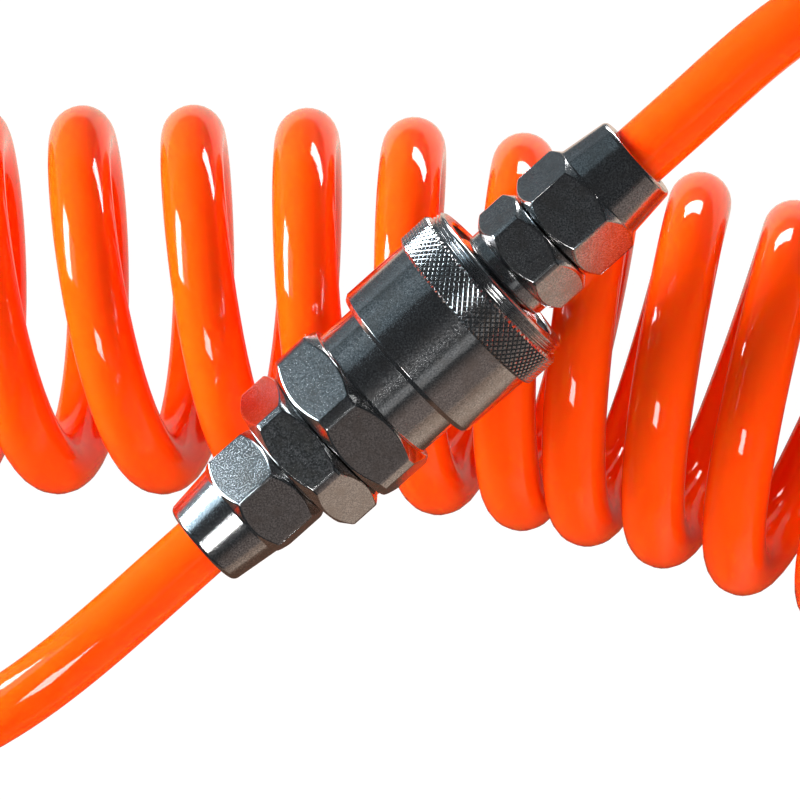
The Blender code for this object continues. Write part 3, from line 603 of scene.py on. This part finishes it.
plug = turned_shape("plug", [
    (3.2, 16.6), (4.7, 16.6), (5.9, 17.8), (5.9, 26.4), (4.6, 27.7), (4.6, 29.5), (5.9, 30.8), (5.9, 35.8),
    (7.4, 35.8), (7.8, 36.2), (7.8, 38.2), (8.1, 38.2), (9.6, 39.7), (9.6, 44.4), (8.1, 45.9)]
    + barb_outline(45.9, 1) + [(1.9, 45.9), (3.2, 42.7)], PLUG_FLATS)
break_edges(plug, 0.2 * MM)
finish_piece(plug, "plug", ground_plate, "plug", "plated_steel", "plug_body")

# Plug's hose nut: the same nut as the socket's, screwed on the plug's thread over the hose's other end.
# It stands with a flat upwards, where the socket's nut has an edge.
PLUG_NUT_FACE = 46.2

plug_nut = turned_shape("plug_nut", hose_nut_outline(PLUG_NUT_FACE, 1), NUT_FLATS)
break_edges(plug_nut, BROKEN_EDGE)
finish_piece(plug_nut, "plug_nut", ground_plate, "plug", "plated_steel", "plug_hose_nut")

# Springs: wound from round steel wire. One pushes the sleeve forward, the other keeps the check valve shut.
# Each sits between two shoulders and shortens when its piece slides back.
WIRE_POINTS_PER_TURN = 24

bare_steel, tree, shader = new_material("bare steel")
spot = add_node(tree, "ShaderNodeTexCoord")
drawn = noise(tree, spot.outputs["Object"], 2500.0, 3.0)
tone = blend(tree, drawn, (0.36, 0.36, 0.37, 1), (0.52, 0.52, 0.53, 1))
tree.links.new(tone, shader.inputs["Base Color"])
shader.inputs["Metallic"].default_value = 1.0
shader.inputs["Roughness"].default_value = 0.3


def wound_spring(node, radius, wire, low, high, turns):
    """A spring about the coupler's axis between two stations in millimetres."""
    line = bpy.data.curves.new(node, "CURVE")
    line.dimensions = "3D"
    line.bevel_depth = wire / 2 * MM
    line.bevel_resolution = 2
    line.use_fill_caps = True
    count = round(turns * WIRE_POINTS_PER_TURN)
    strand = line.splines.new("POLY")
    strand.points.add(count)
    for i, bead in enumerate(strand.points):
        angle = 2 * math.pi * turns * i / count
        climb = low + wire / 2 + (high - low - wire) * i / count
        wire_spot = Vector((radius * math.cos(angle), radius * math.sin(angle), climb)) * MM
        bead.co = (*(coupler @ wire_spot), 1)
    guide = bpy.data.objects.new(node, line)
    bpy.context.scene.collection.objects.link(guide)
    made = finish_piece(guide, "wound_" + node, bare_steel, "hose_and_socket", "spring_steel", node)
    made.data.shade_smooth()
    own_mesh(made)


wound_spring("sleeve_spring", radius=10.525, wire=1.1,
             low=16.9, high=25.3, turns=3.5)
wound_spring("valve_spring", radius=4.2, wire=0.8,
             low=-2.7, high=7.1, turns=5.5)

# Inner pieces: the stop ring and balls of bare steel, a brass valve, and rubber rings.
# They are shut inside the coupler, so the CAD solids stay and only get their finishes.
brass, tree, shader = new_material("turned brass")
spot = add_node(tree, "ShaderNodeTexCoord")
marks = add_node(tree, "ShaderNodeGroup", {}, node_tree=turning)
tree.links.new(spot.outputs["Object"], marks.inputs["Vector"])
marks.inputs["Line scale"].default_value = BRASS_LINE_SCALE
tone = blend(tree, marks.outputs["Height"], (0.62, 0.44, 0.18, 1), (0.80, 0.62, 0.30, 1))
tree.links.new(tone, shader.inputs["Base Color"])
shader.inputs["Metallic"].default_value = 1.0
shader.inputs["Roughness"].default_value = 0.28

rubber, tree, shader = new_material("black nitrile rubber")
spot = add_node(tree, "ShaderNodeTexCoord")
bloom = noise(tree, spot.outputs["Object"], 900.0, 3.0)
tone = blend(tree, bloom, (0.012, 0.012, 0.013, 1), (0.03, 0.03, 0.032, 1))
tree.links.new(tone, shader.inputs["Base Color"])
shader.inputs["Roughness"].default_value = 0.55

for material, names in [
        (bare_steel, ["sleeve_stop_ring"] + [f"lock_ball_{i + 1}" for i in range(BALL_COUNT)]),
        (brass, ["valve_poppet"]), (rubber, ["adapter_seal", "plug_seal", "valve_seal"])]:
    for name in names:
        for piece_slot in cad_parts[name].material_slots:
            piece_slot.material = material

# Stage: a table that shows plain white to the camera, under a bright panel and a dim sky at the left, a low
# panel behind the coil, a panel and a small lamp overhead, and a blue and a brown card. Four fills give light
# that nothing mirrors.
# To every other ray the table glows with painted light, bright in front at the right and behind the coil and
# dim elsewhere, and the dim room keeps the metal's upward faces dark.
DIM_GLOW = 0.03
FRONT_GLOW = 0.40
FAR_FRONT_GLOW = 0.16
BACK_GLOW = 0.75
FAR_BACK_GLOW = 0.065
BACK_EDGE = (0.070, 0.078)
TABLE_REACH = 1.6
LIT_SPOT = COUPLER_CENTRE * 0.5

bpy.context.scene.view_settings.view_transform = "Standard"
table_white, tree, shader = new_material("white table")
spot = add_node(tree, "ShaderNodeTexCoord")
place_on = add_node(tree, "ShaderNodeSeparateXYZ", {0: spot.outputs["Object"]})
to_right = place_on.outputs["X"]
to_back = place_on.outputs["Y"]
beyond = ramp(tree, to_back, *BACK_EDGE)
mottle = noise(tree, spot.outputs["Object"], 6.0, 2.0)
tone = blend(tree, mottle, (0.035, 0.014, 0.006, 1), (0.045, 0.018, 0.008, 1))
tree.links.new(blend(tree, beyond, tone, (0.014, 0.016, 0.018, 1)), shader.inputs["Base Color"])
shader.inputs["Roughness"].default_value = 0.9
# Painted light: a glowing patch on the table in front at the right, and a dim painted glow everywhere else.
in_front = ramp(tree, to_back, -0.05, -0.09, DIM_GLOW, FRONT_GLOW)
far_front = ramp(tree, to_back, -0.10, -0.45, FRONT_GLOW, FAR_FRONT_GLOW)
at_right = ramp(tree, to_right, 0.03, 0.07, DIM_GLOW, FRONT_GLOW)
corner_glow = sum_of(tree, "MINIMUM", sum_of(tree, "MINIMUM", in_front, far_front), at_right)
# Painted light: a glowing band on the table behind the coil, fading beyond its back edge.
behind = ramp(tree, to_back, -0.03, 0.02, DIM_GLOW, BACK_GLOW)
far_back = ramp(tree, to_back, *BACK_EDGE, BACK_GLOW, FAR_BACK_GLOW)
back_glow = sum_of(tree, "MINIMUM", behind, far_back)
glow = sum_of(tree, "MAXIMUM", back_glow, corner_glow)
ray = add_node(tree, "ShaderNodeLightPath")
seen = sum_of(tree, "MAXIMUM", ray.outputs["Is Camera Ray"], glow)
tree.links.new(seen, shader.inputs["Emission Strength"])
# Painted reflection tint: the glow is warm in front of the back edge and blue beyond it; the camera sees
# plain white.
bounce = blend(tree, beyond, (1.0, 0.84, 0.70, 1), (0.72, 0.90, 1.0, 1))
shown = blend(tree, ray.outputs["Is Camera Ray"], bounce, (1.0, 1.0, 1.0, 1))
tree.links.new(shown, shader.inputs["Emission Color"])
table_mesh = bpy.data.meshes.new("table")
corners = [(x * TABLE_REACH, y * TABLE_REACH, 0) for x, y in [(-1, -1), (1, -1), (1, 1), (-1, 1)]]
table_mesh.from_pydata(corners, [], [(0, 1, 2, 3)])
table_mesh.materials.append(table_white)
table = bpy.data.objects.new("table", table_mesh)
bpy.context.scene.collection.objects.link(table)

world = bpy.data.worlds.new("room")
world.use_nodes = True
bpy.context.scene.world = world
room = world.node_tree.nodes["Background"]
room.inputs["Color"].default_value = (0.86, 0.93, 1.0, 1)
room.inputs["Strength"].default_value = 0.035


def soft_panel(name, direction, distance, width, height, radiance, colour=(1, 1, 1), mirrored=True):
    """A flat soft light that faces the coupler from the given direction, and may show as a highlight."""
    panel = bpy.data.lights.new(name, "AREA")
    panel.shape = "RECTANGLE"
    panel.size = width
    panel.size_y = height
    panel.energy = radiance * math.pi * width * height
    panel.color = colour
    light = bpy.data.objects.new(name, panel)
    towards = Vector(direction).normalized()
    light.location = LIT_SPOT + towards * distance
    light.rotation_euler = towards.to_track_quat("Z", "Y").to_euler()
    light.visible_glossy = mirrored
    bpy.context.scene.collection.objects.link(light)


soft_panel("left panel", (-0.909, 0.278, 0.309), 0.9, 0.46, 0.28, 24.0, (0.80, 0.92, 1.0))
soft_panel("left sky", (-0.774, 0.236, 0.588), 0.9, 0.38, 0.27, 1.3, (0.60, 0.84, 1.0))
soft_panel("left fill", (-0.85, 0.22, 0.42), 0.9, 0.6, 0.4, 32.0, mirrored=False)
soft_panel("back panel", (0.29, 0.94, -0.19), 0.13, 0.07, 0.026, 17.0)
soft_panel("overhead panel", (-0.13, -0.42, 0.90), 1.0, 0.28, 0.24, 15.0)
soft_panel("lamp", (0.30, -0.49, 0.82), 1.0, 0.20, 0.20, 0.22)
soft_panel("blue card", (-0.62, 0.68, 0.40), 0.95, 1.0, 0.8, 0.10, (0.62, 0.86, 1.0))
for distance, height in [(0.95, 0.5), (0.97, 0.7), (0.99, 0.9), (1.01, 1.1)]:
    soft_panel("brown card", (0.64, -0.72, 0.26), distance, 0.8, height, 0.042, (1.0, 0.76, 0.66))
soft_panel("front fill", (0.2, -0.95, 0.15), 0.9, 0.9, 0.5, 7.0, mirrored=False)
soft_panel("right fill", (0.95, -0.10, 0.30), 0.9, 0.7, 0.6, 3.6, mirrored=False)
soft_panel("top fill", (0.15, 0.0, 0.98), 0.9, 0.6, 0.6, 1.6, mirrored=False)
